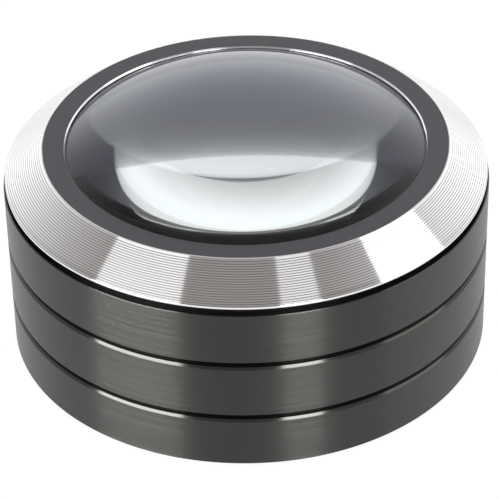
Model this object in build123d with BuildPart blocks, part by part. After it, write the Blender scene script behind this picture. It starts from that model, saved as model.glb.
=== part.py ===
"""Round desk magnifier that stands on the page: a plano-convex lens in a bright bezel on a black
anodised drum, with three lamps round the viewing chamber, a gravity switch that lights them when
the drum stands upright, and three button cells behind a screwed door in the base.

Millimetres. +Z is up, the origin is the centre of the base, and the battery door is at +Y.
"""

import os
from math import asin, atan2, cos, degrees, radians, sin, sqrt

from build123d import *

os.makedirs("parts", exist_ok=True)

# --- Driving dimensions: across -------------------------------------------------------------
LENS_RADIUS = 32.0  # ground edge of the lens
LENS_SPHERE = 57.5  # radius of its domed upper face; the lower face is flat
LENS_SEAT = 0.8  # width of the seat under the lens edge
LINER_SETBACK = 1.6  # outside of the liner, in from the lens edge
LINER_WALL = 0.5
SHELL_WALL = 1.6
SHELL_LIP = 0.6  # inner lip that the base is screwed up against
SHELL_LIP_HEIGHT = 1.0
COLLAR_WALL = 1.8  # collar of the lens carrier, round the lens edge
SPIGOT_WALL = 1.2  # skirt of the lens carrier, inside the drum
TRIM_LEDGE = 1.35  # shoulder in the bezel that the trim ring lies on
TRIM_LAP = 0.6  # how far the trim ring reaches over the lens
BEZEL_RIM = 0.2  # bright edge left outside the trim ring
BEZEL_SETBACK = 0.3  # bezel's foot is this much smaller than the drum
SEAM_SETBACK = 1.3  # depth of the black seam between bezel and drum

# --- Driving dimensions: up -----------------------------------------------------------------
FOOT_PROUD = 0.3  # pads hold the drum this far off the page
SHELL_HEIGHT = 31.4
SEAM_HEIGHT = 1.1
BEZEL_BAND = 0.4  # upright band at the bezel's foot
BEZEL_HEIGHT = 5.45
TRIM_SINK = 0.05  # trim ring lies this far below the bezel's top
TRIM_THICKNESS = 1.0
TRIM_LIP = 0.45  # its thickness over the lens
LENS_EDGE = 3.75  # height of the ground edge
GASKET_THICKNESS = 0.3
PLATE_THICKNESS = 1.6  # web of the lens carrier
SPIGOT_DEPTH = 3.0  # how far its skirt reaches down into the drum
BASE_THICKNESS = 2.0
BASE_RECESS = 0.2  # base lies this far above the drum's lower edge
PAD_THICKNESS = 1.0

# --- Grooves and edges ------------------------------------------------------------------------
GROOVE_HEIGHTS = (10.45, 21.45)
GROOVE_DEPTH = 0.4
GROOVE_FLOOR = 0.9  # upright floor of each groove
GROOVE_LOWER_SLOPE = 0.5  # height of the face below the floor, which looks up
GROOVE_UPPER_SLOPE = 0.2  # height of the face above it
GROOVE_OVERCUT = 0.1  # each cut starts this far outside the drum
TOP_CHAMFER = 0.15
FOOT_CHAMFER = 0.4
LENS_BEVEL = 0.25
TRIM_CHAMFER = 0.25

# --- Clearances -------------------------------------------------------------------------------
SLIP = 0.05  # pieces pressed or glued together
FIT = 0.15  # pieces that drop in by hand
GAP = 0.4  # pieces that only pass each other

# --- Fasteners ----------------------------------------------------------------------------------
SCREW_RADIUS = 1.0
SCREW_HEAD_RADIUS = 1.9
SCREW_HEAD_HEIGHT = 1.1
SCREW_SINK = 0.1  # heads lie this far inside the base
SLOT_LENGTH = 2.2
SLOT_WIDTH = 0.45
SLOT_DEPTH = 0.6
SCREW_REACH = 7.3  # shank below the head
POST_RADIUS = 2.3
THREAD_GAP = 0.02
THREAD_END = 0.1  # blind holes are this much deeper than their screws
SMALL_SCREW_RADIUS = 0.6
SMALL_HEAD_RADIUS = 1.2
SMALL_HEAD_HEIGHT = 0.8
SMALL_SCREW_REACH = 2.3
POST_COUNT = 4
POST_START = 45

# --- Cells, contacts and door -------------------------------------------------------------------
CELL_RADIUS = 3.95
CELL_THICKNESS = 3.6
CELL_CAP_RADIUS = 3.1
CELL_CAP_HEIGHT = 0.3
CELL_EDGE = 0.3  # rounding of the can's edge
CELL_COUNT = 3
CELL_GAP = 0.02
CELL_ROOM = 0.1  # between the cells and their pocket
BOX_WALL = 0.6  # thin outer wall of the cell box
BOX_GAP = 0.125  # between that wall and the drum's inner lip
CONTACT_THICKNESS = 0.3
CONTACT_WIDTH = 6.0
TAB_WIDTH = 2.4
TAB_RISE = 3.0
SPRING_LENGTH = 1.9
SPRING_WIRE = 0.2
SPRING_FOOT_RADIUS = 2.5
SPRING_TIP_RADIUS = 1.5
SPRING_PITCH = 0.6
POCKET_WALL = 0.8
DOOR_THICKNESS = 1.0
DOOR_LIP = 1.2  # how far the door laps over the edges of the pocket
DOOR_SIDE_LIP = 0.5  # the same, along the pocket's inner and outer walls
DOOR_SCREW_SPACE = 0.6  # between the screw boss and the cell box
DOOR_RIB = 0.8
DOOR_SCREW_REACH = 4.6
DOOR_SCREW_SINK = 0.05  # head lies this far inside the door
DOOR_HEAD_HEIGHT = 0.43
DOOR_SCREW_END = 0.6  # plastic left above the screw's end

# --- Lamps and boards -----------------------------------------------------------------------------
BOARD_THICKNESS = 1.0
BOARD_DROP = 0.8  # space between the lamp board and the carrier's web
LAMP_ANGLES = (30, 150, 270)
LAMP_TILT = 45
LAMP_RADIUS = 1.5
LAMP_FLANGE_RADIUS = 1.9
LAMP_FLANGE_THICKNESS = 1.0
LAMP_LENGTH = 5.3
LAMP_PROUD = 0.2  # how far a lamp's dome looks into the chamber
LEAD_RADIUS = 0.25
LEAD_PITCH = 2.54
LEAD_STUB = 1.6
LEAD_TAIL = 0.6
LEAD_BEND = 0.8
CHIP_SIZE = (1.6, 3.2, 0.6)
CHIP_ANGLES = (18, 162, 282)
BOARD_SCREW_COUNT = 2
BOARD_SCREW_START = 0

# --- Gravity switch -------------------------------------------------------------------------------
SWITCH_ANGLE = 21
SWITCH_BOARD_LENGTH = 20.0
SWITCH_BOARD_MARGIN = 0.9  # between the board and the walls on both sides of it
STANDOFF_HEIGHT = 2.0
STANDOFF_RADIUS = 1.5
STANDOFF_SPAN = 15.6
CAN_RADIUS = 2.5
CAN_WALL = 0.3
CAN_HEIGHT = 6.5
HEADER_HEIGHT = 1.2
PIN_RADIUS = 0.25
PIN_SPACING = 2.0
PIN_RISE = 0.6
PIN_TAIL = 0.6
BALL_RADIUS = 1.5
BALL_GAP = 0.02

# --- Wires ------------------------------------------------------------------------------------------
WIRE_RADIUS = 0.4
WIRE_BEND = 1.5
WIRE_OFFSET = 5.0  # along the switch board, from its middle
WIRE_START = 4.0  # straight run off a tab or a board
# Points on the way: angle, distance outside the outer lane, height above the tab.
BATTERY_RED_ROUTE = ((66, -0.6, -1.5), (52, 0.2, -3.0), (39, 0.0, -3.8))
# Angle, distance outside the middle of the ring, share of the way up between the boards.
LAMP_RED_ROUTE = ((8.5, 1.6, 0.38), (8.0, 1.9, 0.71), (6.5, 0.6, 0.87), (6.5, 0.6, 1.0))
# Distance beyond the tab, distance outside the cells' axis, share of the way up to the board.
BATTERY_BLACK_ROUTE = (
    (3.0, 0.3, 0.0),
    (4.0, 0.0, 0.31),
    (3.6, -0.6, 0.62),
    (3.0, -0.9, 0.81),
    (3.0, -0.9, 1.0),
)

# --- Feet -------------------------------------------------------------------------------------------
PAD_ANGLES = (22, 158, 270)
PAD_SWEEP = 32
PAD_WIDTH = 6.0

# --- Row of cells, which sets how wide the drum is -----------------------------------------
stack_length = CELL_COUNT * (CELL_THICKNESS + CELL_GAP)
stack_start = -stack_length / 2
stack_end = stack_length / 2
plus_inner = stack_end + CELL_GAP
plus_outer = plus_inner + CONTACT_THICKNESS
minus_inner = stack_start - SPRING_LENGTH
minus_outer = minus_inner - CONTACT_THICKNESS
pocket_right = plus_outer + SLIP
pocket_left = minus_outer - SLIP
pocket_middle = (pocket_left + pocket_right) / 2
pocket_width = pocket_right - pocket_left

# --- Radii that follow ----------------------------------------------------------------------
seat_inner = LENS_RADIUS - LENS_SEAT
liner_outer = LENS_RADIUS - LINER_SETBACK
liner_inner = liner_outer - LINER_WALL
base_opening = liner_inner
cell_y = liner_outer + POCKET_WALL + CELL_RADIUS
cell_corner = sqrt((cell_y + CELL_RADIUS) ** 2 + stack_end**2)
pocket_inner = liner_outer + POCKET_WALL - CELL_ROOM
pocket_outer = cell_corner + CELL_ROOM
box_outer = pocket_outer + BOX_WALL
shell_inner = box_outer + BOX_GAP + SHELL_LIP
body_radius = shell_inner + SHELL_WALL
service_middle = (liner_outer + shell_inner) / 2
collar_inner = LENS_RADIUS + FIT
collar_outer = collar_inner + COLLAR_WALL
bezel_bore = collar_outer + SLIP
recess_radius = bezel_bore + TRIM_LEDGE
bezel_top_radius = recess_radius + BEZEL_RIM
trim_outer = recess_radius - SLIP
trim_inner = LENS_RADIUS - TRIM_LAP
bezel_foot_radius = body_radius - BEZEL_SETBACK
seam_radius = body_radius - SEAM_SETBACK
spigot_outer = shell_inner - FIT
spigot_inner = spigot_outer - SPIGOT_WALL
base_outer = shell_inner - FIT

# --- Heights that follow ----------------------------------------------------------------------------
shell_bottom = FOOT_PROUD
shell_top = shell_bottom + SHELL_HEIGHT
bezel_bottom = shell_top + SEAM_HEIGHT
bezel_top = bezel_bottom + BEZEL_HEIGHT
trim_top = bezel_top - TRIM_SINK
trim_bottom = trim_top - TRIM_THICKNESS
lip_bottom = trim_top - TRIM_LIP
lens_rise = sqrt(LENS_SPHERE**2 - trim_inner**2) - sqrt(LENS_SPHERE**2 - LENS_RADIUS**2)
lens_edge_top = lip_bottom - SLIP - lens_rise
lens_bottom = lens_edge_top - LENS_EDGE
lens_centre = lens_edge_top - sqrt(LENS_SPHERE**2 - LENS_RADIUS**2)
lens_top = lens_centre + LENS_SPHERE
seat_top = lens_bottom - GASKET_THICKNESS
liner_top = seat_top - (seat_inner - liner_outer) - FIT
plate_bottom = bezel_bottom - PLATE_THICKNESS
spigot_bottom = shell_top - SPIGOT_DEPTH
base_bottom = shell_bottom + BASE_RECESS
base_top = base_bottom + BASE_THICKNESS
board_top = plate_bottom - BOARD_DROP
board_bottom = board_top - BOARD_THICKNESS

# --- Grooves and pads -------------------------------------------------------------------------
groove_overcut_share = 1 + GROOVE_OVERCUT / GROOVE_DEPTH
groove_low = GROOVE_FLOOR / 2 + GROOVE_LOWER_SLOPE * groove_overcut_share
groove_high = GROOVE_FLOOR / 2 + GROOVE_UPPER_SLOPE * groove_overcut_share
pad_outer = service_middle + PAD_WIDTH / 2
pad_inner = service_middle - PAD_WIDTH / 2
pad_slack = degrees(FIT / pad_inner)

# --- Pocket and door --------------------------------------------------------------------------
cell_z = base_top + FIT + CELL_RADIUS
pocket_roof = cell_z + CELL_RADIUS + FIT + CELL_ROOM
tab_top = pocket_roof + POCKET_WALL + TAB_RISE
wire_height = tab_top - TAB_WIDTH / 2
door_screw_reach_out = pocket_right + POCKET_WALL + POST_RADIUS + DOOR_SCREW_SPACE
door_screw_angle = 90 - degrees(door_screw_reach_out / service_middle)
door_first = door_screw_angle - degrees((SCREW_HEAD_RADIUS + DOOR_LIP) / service_middle)
door_last = 90 + degrees((DOOR_LIP - pocket_left) / pocket_inner)
door_middle = (door_first + door_last) / 2
door_sweep = door_last - door_first
door_inner = pocket_inner - DOOR_SIDE_LIP
door_outer = pocket_outer + DOOR_SIDE_LIP
door_top = base_bottom + DOOR_THICKNESS
rebate_top = door_top + CELL_ROOM
door_screw_bottom = base_bottom + DOOR_SCREW_SINK

# --- Switch board, as wide as the ring-shaped space allows ------------------------------------
switch_edge = sqrt((shell_inner - SWITCH_BOARD_MARGIN) ** 2 - (SWITCH_BOARD_LENGTH / 2) ** 2)
switch_inner_edge = liner_outer + SWITCH_BOARD_MARGIN
switch_board_width = switch_edge - switch_inner_edge
switch_middle = (switch_edge + switch_inner_edge) / 2

# --- Switch heights -----------------------------------------------------------------------------------
switch_board_bottom = base_top + STANDOFF_HEIGHT
switch_board_top = switch_board_bottom + BOARD_THICKNESS
can_top = switch_board_top + CAN_HEIGHT
pin_top = switch_board_top + HEADER_HEIGHT + PIN_RISE
ball_z = pin_top + sqrt(BALL_RADIUS**2 - (PIN_SPACING / 2 - PIN_RADIUS) ** 2) + BALL_GAP


def polar(angle, radius, height=0.0):
    """Point at an angle round the drum, a radius out and a height up."""
    return Vector(radius * cos(radians(angle)), radius * sin(radians(angle)), height)


def facing(angle, radius, height=0.0):
    """Level plane at a point round the drum, with its own X pointing outwards."""
    outward = polar(angle, 1)
    return Plane(origin=polar(angle, radius, height), x_dir=outward, z_dir=(0, 0, 1))


def sector(middle, sweep, reach):
    """Corners of a flat wedge from the centre, wide enough to trim a ring to a sector."""
    rays = (middle - sweep / 2, middle, middle + sweep / 2)
    return [(0, 0)] + [(reach * cos(radians(a)), reach * sin(radians(a))) for a in rays]


def lamp_plane(angle):
    """Plane on the back of a lamp's flange, with its normal along the lamp, inwards and down."""
    tilt = radians(LAMP_TILT)
    along = polar(angle, -cos(tilt)) + Vector(0, 0, -sin(tilt))
    tip = liner_inner - LAMP_PROUD
    back_radius = tip + LAMP_LENGTH * cos(tilt)
    back_height = board_bottom - LAMP_FLANGE_RADIUS * cos(tilt) - GAP
    return Plane(
        origin=polar(angle, back_radius, back_height),
        x_dir=(-sin(radians(angle)), cos(radians(angle)), 0),
        z_dir=along,
    )


def lead_points(angle, side):
    """Route of one lamp lead: out of the back of the lamp, then up through the board."""
    plane = lamp_plane(angle)
    start = plane.origin + plane.x_dir * side * LEAD_PITCH / 2
    knee = start - plane.z_dir * LEAD_STUB
    return [start, knee, Vector(knee.X, knee.Y, board_top + LEAD_TAIL)]


# ====================================== drum ==================================================
with BuildPart() as body_shell:
    with BuildSketch(Plane.XZ):
        with BuildLine():
            Polyline(
                (shell_inner, shell_bottom),
                (body_radius - FOOT_CHAMFER, shell_bottom),
                (body_radius, shell_bottom + FOOT_CHAMFER),
                (body_radius, shell_top - TOP_CHAMFER),
                (body_radius - TOP_CHAMFER, shell_top),
                (shell_inner, shell_top),
                close=True,
            )
        make_face()
        with Locations((shell_inner + SHELL_WALL / 2, base_top)):
            Rectangle(SHELL_LIP + SHELL_WALL / 2, SHELL_LIP_HEIGHT, align=(Align.MAX, Align.MIN))
        # Turned grooves; each height is the middle of the groove's floor.
        for height in GROOVE_HEIGHTS:
            with BuildLine():
                Polyline(
                    (body_radius + GROOVE_OVERCUT, height - groove_low),
                    (body_radius - GROOVE_DEPTH, height - GROOVE_FLOOR / 2),
                    (body_radius - GROOVE_DEPTH, height + GROOVE_FLOOR / 2),
                    (body_radius + GROOVE_OVERCUT, height + groove_high),
                    close=True,
                )
            make_face(mode=Mode.SUBTRACT)
    revolve(axis=Axis.Z)
body_shell.part.label = "body_shell"
export_step(body_shell.part, "parts/body_shell.step")

# ====================================== head ==================================================
with BuildPart() as lens_carrier:
    with BuildSketch(Plane.XZ):
        with BuildLine():
            Polyline(
                (liner_outer + SLIP, plate_bottom),
                (spigot_inner, plate_bottom),
                (spigot_inner, spigot_bottom),
                (spigot_outer, spigot_bottom),
                (spigot_outer, shell_top),
                (seam_radius, shell_top),
                (seam_radius, bezel_bottom),
                (collar_outer, bezel_bottom),
                (collar_outer, trim_bottom - SLIP),
                (collar_inner, trim_bottom - SLIP),
                (collar_inner, seat_top),
                (seat_inner, seat_top),
                (liner_outer + SLIP, seat_top - (seat_inner - liner_outer - SLIP)),
                close=True,
            )
        make_face()
    revolve(axis=Axis.Z)
    # Posts that the base screws pull on, and two short bosses for the lamp board.
    with BuildSketch(Plane.XY.offset(base_top)):
        with PolarLocations(service_middle, POST_COUNT, POST_START):
            Circle(POST_RADIUS)
    extrude(amount=plate_bottom - base_top)
    with BuildSketch(Plane.XY.offset(board_top)):
        with PolarLocations(service_middle, BOARD_SCREW_COUNT, BOARD_SCREW_START):
            Circle(STANDOFF_RADIUS)
    extrude(amount=plate_bottom - board_top)
    with BuildSketch(Plane.XY.offset(base_top)):
        with PolarLocations(service_middle, POST_COUNT, POST_START):
            Circle(SCREW_RADIUS + THREAD_GAP)
    extrude(amount=SCREW_REACH + THREAD_END, mode=Mode.SUBTRACT)
    with BuildSketch(Plane.XY.offset(board_top)):
        with PolarLocations(service_middle, BOARD_SCREW_COUNT, BOARD_SCREW_START):
            Circle(SMALL_SCREW_RADIUS + THREAD_GAP)
    extrude(amount=SMALL_SCREW_REACH - BOARD_THICKNESS + THREAD_END, mode=Mode.SUBTRACT)
lens_carrier.part.label = "lens_carrier"
export_step(lens_carrier.part, "parts/lens_carrier.step")

with BuildPart() as bezel_ring:
    with BuildSketch(Plane.XZ):
        with BuildLine():
            Polyline(
                (bezel_bore, bezel_bottom),
                (bezel_foot_radius, bezel_bottom),
                (bezel_foot_radius, bezel_bottom + BEZEL_BAND),
                (bezel_top_radius, bezel_top),
                (recess_radius, bezel_top),
                (recess_radius, trim_bottom),
                (bezel_bore, trim_bottom),
                close=True,
            )
        make_face()
    revolve(axis=Axis.Z)
bezel_ring.part.label = "bezel_ring"
export_step(bezel_ring.part, "parts/bezel_ring.step")

with BuildPart() as trim_ring:
    with BuildSketch(Plane.XZ):
        with BuildLine():
            Polyline(
                (trim_inner, lip_bottom),
                (trim_inner, trim_top - TRIM_CHAMFER),
                (trim_inner + TRIM_CHAMFER, trim_top),
                (trim_outer, trim_top),
                (trim_outer, trim_bottom),
                (collar_inner + FIT, trim_bottom),
                (collar_inner + FIT, lip_bottom),
                close=True,
            )
        make_face()
    revolve(axis=Axis.Z)
trim_ring.part.label = "trim_ring"
export_step(trim_ring.part, "parts/trim_ring.step")

lens_half_angle = degrees(asin(LENS_RADIUS / LENS_SPHERE))
with BuildPart() as lens:
    with BuildSketch(Plane.XZ):
        with BuildLine():
            CenterArc((0, lens_centre), LENS_SPHERE, 90 - lens_half_angle, lens_half_angle)
            Polyline(
                (0, lens_top),
                (0, lens_bottom),
                (LENS_RADIUS - LENS_BEVEL, lens_bottom),
                (LENS_RADIUS, lens_bottom + LENS_BEVEL),
                (LENS_RADIUS, lens_edge_top),
            )
        make_face()
    revolve(axis=Axis.Z)
lens.part.label = "lens"
export_step(lens.part, "parts/lens.step")

with BuildPart() as lens_gasket:
    with BuildSketch(Plane.XY.offset(seat_top)):
        Circle(LENS_RADIUS - LENS_BEVEL - SLIP)
        Circle(seat_inner + SLIP, mode=Mode.SUBTRACT)
    extrude(amount=GASKET_THICKNESS)
lens_gasket.part.label = "lens_gasket"
export_step(lens_gasket.part, "parts/lens_gasket.step")

# ====================================== chamber ===============================================
with BuildPart() as chamber_liner:
    with BuildSketch(Plane.XZ):
        with BuildLine():
            Polyline(
                (liner_inner, base_top),
                (liner_outer, base_top),
                (liner_outer, liner_top),
                (liner_inner, liner_top - LINER_WALL),
                close=True,
            )
        make_face()
    revolve(axis=Axis.Z)
    # Slanted windows for the lamps.
    for lamp_angle in LAMP_ANGLES:
        with BuildSketch(lamp_plane(lamp_angle)):
            Circle(LAMP_RADIUS + FIT)
        extrude(amount=LAMP_LENGTH + 2 * LAMP_RADIUS, mode=Mode.SUBTRACT)
chamber_liner.part.label = "chamber_liner"
export_step(chamber_liner.part, "parts/chamber_liner.step")

# ====================================== base ==================================================
with BuildPart() as base_plate:
    with BuildSketch(Plane.XY.offset(base_bottom)):
        Circle(base_outer)
        Circle(base_opening, mode=Mode.SUBTRACT)
    extrude(amount=BASE_THICKNESS)
    # Walls and roof of the cell box.
    with BuildSketch(Plane.XY.offset(base_top)):
        Circle(box_outer)
        Circle(liner_outer + SLIP, mode=Mode.SUBTRACT)
        with Locations((pocket_middle, body_radius)):
            box_width = pocket_width + 2 * POCKET_WALL
            Rectangle(box_width, body_radius, align=(Align.CENTER, Align.MAX), mode=Mode.INTERSECT)
    extrude(amount=pocket_roof + POCKET_WALL - base_top)
    # Pocket for the cells, open downwards.
    with BuildSketch(Plane.XY.offset(base_bottom)):
        Circle(pocket_outer)
        Circle(pocket_inner, mode=Mode.SUBTRACT)
        with Locations((pocket_middle, body_radius)):
            Rectangle(pocket_width, body_radius, align=(Align.CENTER, Align.MAX), mode=Mode.INTERSECT)
    extrude(amount=pocket_roof - base_bottom, mode=Mode.SUBTRACT)
    # Slots in the roof for the two contact tabs.
    for side in ((plus_inner + plus_outer) / 2, (minus_inner + minus_outer) / 2):
        with BuildSketch(Plane.XY.offset(pocket_roof)):
            with Locations((side, cell_y)):
                Rectangle(CONTACT_THICKNESS + 2 * SLIP, TAB_WIDTH + 2 * FIT)
        extrude(amount=POCKET_WALL, mode=Mode.SUBTRACT)
    # Boss for the door screw, and two short pillars for the switch board.
    with BuildSketch(Plane.XY.offset(base_top)):
        with Locations(polar(door_screw_angle, service_middle)):
            Circle(POST_RADIUS)
    extrude(amount=DOOR_SCREW_REACH + DOOR_SCREW_END - BASE_THICKNESS)
    with BuildSketch(facing(SWITCH_ANGLE, switch_middle, base_top)):
        with Locations((0, -STANDOFF_SPAN / 2), (0, STANDOFF_SPAN / 2)):
            Circle(STANDOFF_RADIUS)
    extrude(amount=STANDOFF_HEIGHT)
    with BuildSketch(facing(SWITCH_ANGLE, switch_middle, switch_board_bottom)):
        with Locations((0, -STANDOFF_SPAN / 2), (0, STANDOFF_SPAN / 2)):
            Circle(SMALL_SCREW_RADIUS + THREAD_GAP)
    extrude(amount=-(SMALL_SCREW_REACH - BOARD_THICKNESS + THREAD_END), mode=Mode.SUBTRACT)
    # Rebate for the door.
    with BuildSketch(Plane.XY.offset(base_bottom)):
        Circle(door_outer + FIT)
        Circle(door_inner - FIT, mode=Mode.SUBTRACT)
        with BuildLine():
            rebate_sweep = door_sweep + 2 * degrees(FIT / door_inner)
            Polyline(*sector(door_middle, rebate_sweep, 2 * body_radius), close=True)
        make_face(mode=Mode.INTERSECT)
    extrude(amount=rebate_top - base_bottom, mode=Mode.SUBTRACT)
    with BuildSketch(Plane.XY.offset(rebate_top)):
        with Locations(polar(door_screw_angle, service_middle)):
            Circle(SCREW_RADIUS + SLIP)
    extrude(amount=DOOR_SCREW_REACH + door_screw_bottom + THREAD_END - rebate_top, mode=Mode.SUBTRACT)
    # Counterbored holes for the base screws.
    with BuildSketch(Plane.XY.offset(base_bottom)):
        with PolarLocations(service_middle, POST_COUNT, POST_START):
            Circle(SCREW_HEAD_RADIUS + FIT)
    extrude(amount=SCREW_HEAD_HEIGHT + SCREW_SINK, mode=Mode.SUBTRACT)
    with BuildSketch(Plane.XY.offset(base_bottom)):
        with PolarLocations(service_middle, POST_COUNT, POST_START):
            Circle(SCREW_RADIUS + FIT)
    extrude(amount=BASE_THICKNESS, mode=Mode.SUBTRACT)
    # Shallow beds for the foot pads.
    for pad_angle in PAD_ANGLES:
        with BuildSketch(Plane.XY.offset(base_bottom)):
            Circle(pad_outer + FIT)
            Circle(pad_inner - FIT, mode=Mode.SUBTRACT)
            with BuildLine():
                bed_sweep = PAD_SWEEP + 2 * pad_slack
                Polyline(*sector(pad_angle, bed_sweep, 2 * body_radius), close=True)
            make_face(mode=Mode.INTERSECT)
        extrude(amount=PAD_THICKNESS - base_bottom, mode=Mode.SUBTRACT)
base_plate.part.label = "base_plate"
export_step(base_plate.part, "parts/base_plate.step")

with BuildPart() as foot_pads:
    for pad_angle in PAD_ANGLES:
        with BuildSketch(Plane.XY):
            Circle(pad_outer)
            Circle(pad_inner, mode=Mode.SUBTRACT)
            with BuildLine():
                Polyline(*sector(pad_angle, PAD_SWEEP, 2 * body_radius), close=True)
            make_face(mode=Mode.INTERSECT)
        extrude(amount=PAD_THICKNESS)
foot_pads.part.label = "foot_pads"
export_step(foot_pads.part, "parts/foot_pads.step")

with BuildPart() as base_screws:
    with BuildSketch(Plane.XY.offset(base_bottom + SCREW_SINK)):
        with PolarLocations(service_middle, POST_COUNT, POST_START):
            Circle(SCREW_HEAD_RADIUS)
    extrude(amount=SCREW_HEAD_HEIGHT)
    with BuildSketch(Plane.XY.offset(base_bottom + SCREW_SINK + SCREW_HEAD_HEIGHT)):
        with PolarLocations(service_middle, POST_COUNT, POST_START):
            Circle(SCREW_RADIUS)
    extrude(amount=SCREW_REACH)
    with BuildSketch(Plane.XY.offset(base_bottom + SCREW_SINK)):
        with PolarLocations(service_middle, POST_COUNT, POST_START):
            Rectangle(SLOT_LENGTH, SLOT_WIDTH)
            Rectangle(SLOT_WIDTH, SLOT_LENGTH)
    extrude(amount=SLOT_DEPTH, mode=Mode.SUBTRACT)
base_screws.part.label = "base_screws"
export_step(base_screws.part, "parts/base_screws.step")

# ====================================== battery door ==========================================
with BuildPart() as battery_door:
    with BuildSketch(Plane.XY.offset(base_bottom)):
        Circle(door_outer)
        Circle(door_inner, mode=Mode.SUBTRACT)
        with BuildLine():
            Polyline(*sector(door_middle, door_sweep, 2 * body_radius), close=True)
        make_face(mode=Mode.INTERSECT)
    extrude(amount=DOOR_THICKNESS)
    # Locating rib that stands in the mouth of the pocket.
    with BuildSketch(Plane.XY.offset(door_top)):
        Circle(pocket_outer - FIT)
        Circle(pocket_inner + FIT, mode=Mode.SUBTRACT)
        with Locations((pocket_middle, body_radius)):
            Rectangle(
                pocket_width - 2 * FIT,
                body_radius,
                align=(Align.CENTER, Align.MAX),
                mode=Mode.INTERSECT,
            )
        offset(amount=-DOOR_RIB, mode=Mode.SUBTRACT)
    extrude(amount=base_top - door_top - CELL_ROOM)
    with BuildSketch(Plane.XY.offset(base_bottom)):
        with Locations(polar(door_screw_angle, service_middle)):
            Circle(SCREW_RADIUS + SLIP)
    extrude(amount=DOOR_THICKNESS, mode=Mode.SUBTRACT)
    with BuildSketch(Plane.XY.offset(base_bottom)):
        with Locations(polar(door_screw_angle, service_middle)):
            Circle(SCREW_HEAD_RADIUS + SLIP)
    extrude(amount=DOOR_SCREW_SINK + DOOR_HEAD_HEIGHT + THREAD_GAP, mode=Mode.SUBTRACT)
battery_door.part.label = "battery_door"
export_step(battery_door.part, "parts/battery_door.step")

with BuildPart() as door_screw:
    with BuildSketch(Plane.XY.offset(door_screw_bottom)):
        with Locations(polar(door_screw_angle, service_middle)):
            Circle(SCREW_HEAD_RADIUS)
    extrude(amount=DOOR_HEAD_HEIGHT)
    with BuildSketch(Plane.XY.offset(door_screw_bottom)):
        with Locations(polar(door_screw_angle, service_middle)):
            Circle(SCREW_RADIUS)
    extrude(amount=DOOR_SCREW_REACH)
    with BuildSketch(Plane.XY.offset(door_screw_bottom)):
        with Locations(polar(door_screw_angle, service_middle)):
            Rectangle(SLOT_LENGTH, SLOT_WIDTH)
            Rectangle(SLOT_WIDTH, SLOT_LENGTH)
    extrude(amount=SLOT_DEPTH, mode=Mode.SUBTRACT)
door_screw.part.label = "door_screw"
export_step(door_screw.part, "parts/door_screw.step")

# ====================================== cells and contacts ====================================
for number in range(CELL_COUNT):
    cell_start = stack_start + number * (CELL_THICKNESS + CELL_GAP) + CELL_GAP / 2
    with BuildPart() as button_cell:
        with BuildSketch(Plane.YZ.offset(cell_start)):
            with Locations((cell_y, cell_z)):
                Circle(CELL_CAP_RADIUS)
        extrude(amount=CELL_CAP_HEIGHT)
        with BuildSketch(Plane.YZ.offset(cell_start + CELL_CAP_HEIGHT)):
            with Locations((cell_y, cell_z)):
                Circle(CELL_RADIUS)
        extrude(amount=CELL_THICKNESS - CELL_CAP_HEIGHT)
        can_edge = button_cell.faces().sort_by(Axis.X)[-1].edges()
        fillet(can_edge, radius=CELL_EDGE)
    cell_name = f"button_cell_{number + 1}"
    button_cell.part.label = cell_name
    export_step(button_cell.part, f"parts/{cell_name}.step")

with BuildPart() as contact_plus:
    with BuildSketch(Plane.YZ.offset(plus_inner)):
        with Locations((cell_y, cell_z)):
            Rectangle(CONTACT_WIDTH, CELL_RADIUS * 2)
        with Locations((cell_y, cell_z)):
            Rectangle(TAB_WIDTH, tab_top - cell_z, align=(Align.CENTER, Align.MIN))
    extrude(amount=CONTACT_THICKNESS)
contact_plus.part.label = "contact_plus"
export_step(contact_plus.part, "parts/contact_plus.step")

with BuildPart() as contact_minus:
    with BuildSketch(Plane.YZ.offset(minus_outer)):
        with Locations((cell_y, cell_z)):
            Rectangle(CONTACT_WIDTH, CELL_RADIUS * 2)
        with Locations((cell_y, cell_z)):
            Rectangle(TAB_WIDTH, tab_top - cell_z, align=(Align.CENTER, Align.MIN))
    extrude(amount=CONTACT_THICKNESS)
contact_minus.part.label = "contact_minus"
export_step(contact_minus.part, "parts/contact_minus.step")

# The spring narrows towards the cells.
spring_height = SPRING_LENGTH - 2 * SPRING_WIRE - 2 * SLIP
spring_cone = degrees(atan2(SPRING_TIP_RADIUS - SPRING_FOOT_RADIUS, spring_height))
with BuildPart() as contact_spring:
    with BuildLine() as coil:
        Helix(
            pitch=SPRING_PITCH,
            height=spring_height,
            radius=SPRING_FOOT_RADIUS,
            center=(minus_inner + SPRING_WIRE + SLIP, cell_y, cell_z),
            direction=(1, 0, 0),
            cone_angle=spring_cone,
        )
    with BuildSketch(Plane(origin=coil.line @ 0, z_dir=coil.line % 0)):
        Circle(SPRING_WIRE)
    sweep(is_frenet=True)
contact_spring.part.label = "contact_spring"
export_step(contact_spring.part, "parts/contact_spring.step")

# ====================================== lamps =================================================
with BuildPart() as lamp_board:
    with BuildSketch(Plane.XY.offset(board_bottom)):
        Circle(spigot_inner - GAP)
        Circle(liner_outer + GAP, mode=Mode.SUBTRACT)
        with PolarLocations(service_middle, POST_COUNT, POST_START):
            Circle(POST_RADIUS + GAP, mode=Mode.SUBTRACT)
        with PolarLocations(service_middle, BOARD_SCREW_COUNT, BOARD_SCREW_START):
            Circle(SMALL_SCREW_RADIUS + FIT, mode=Mode.SUBTRACT)
        for lamp_angle in LAMP_ANGLES:
            for side in (-1, 1):
                with Locations(lead_points(lamp_angle, side)[1]):
                    Circle(LEAD_RADIUS + FIT, mode=Mode.SUBTRACT)
    extrude(amount=BOARD_THICKNESS)
lamp_board.part.label = "lamp_board"
export_step(lamp_board.part, "parts/lamp_board.step")

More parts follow.
